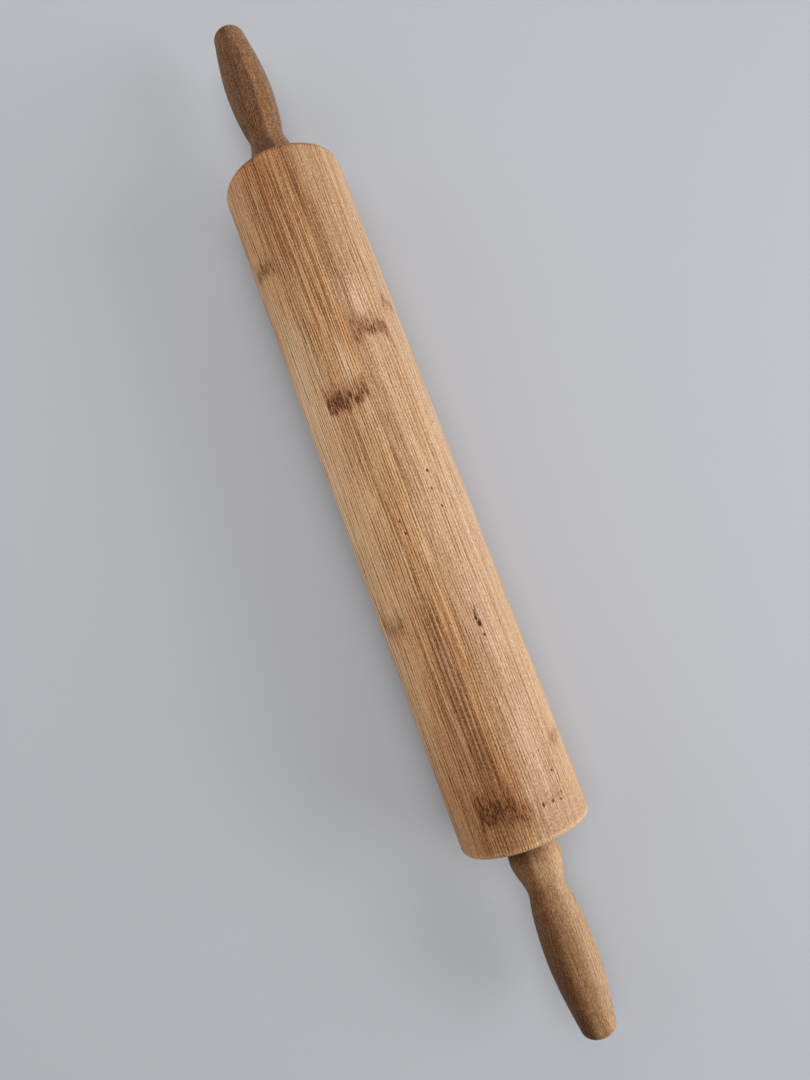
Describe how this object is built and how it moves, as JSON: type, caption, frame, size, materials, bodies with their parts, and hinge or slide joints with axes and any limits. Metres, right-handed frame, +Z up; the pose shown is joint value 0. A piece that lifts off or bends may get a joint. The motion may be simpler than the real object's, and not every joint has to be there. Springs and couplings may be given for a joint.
{
  "type": "rolling pin",
  "caption": "Laminated bamboo rolling pin: a round-edged barrel that turns on a steel rod between two turned handles with a collar, a neck and a swelling grip.",
  "frame": {"origin": "under the middle of the barrel, on the surface it rests on", "axes": "+X along the pin towards the right-hand handle, +Z up, +Y across the pin"},
  "size_m": [0.4362, 0.0508, 0.0508],
  "materials": {
    "barrel_bamboo": "sanded laminated bamboo, fine dark fibres along the pin, satin oil",
    "handle_bamboo": "turned bamboo, darker than the barrel, rubbed satin",
    "rod_steel": "drawn bright steel",
    "washer_steel": "stamped, plain",
    "bush_nylon": "natural nylon",
    "insert_brass": "turned, barbed"
  },
  "bodies": {
    "grips": {"axle_rod": "rod_steel", "handle_left": "handle_bamboo", "handle_right": "handle_bamboo", "insert_nut_left": "insert_brass", "insert_nut_right": "insert_brass", "thrust_washer_left": "washer_steel", "thrust_washer_right": "washer_steel"},
    "roller": {"barrel": "barrel_bamboo", "bush_left": "bush_nylon", "bush_right": "bush_nylon"}
  },
  "joints": [
    {"name": "barrel_spin", "type": "hinge", "parent": "grips", "child": "roller", "pos_m": [0, 0, 0.02538], "axis": [1, 0, 0], "continuous": true}
  ]
}
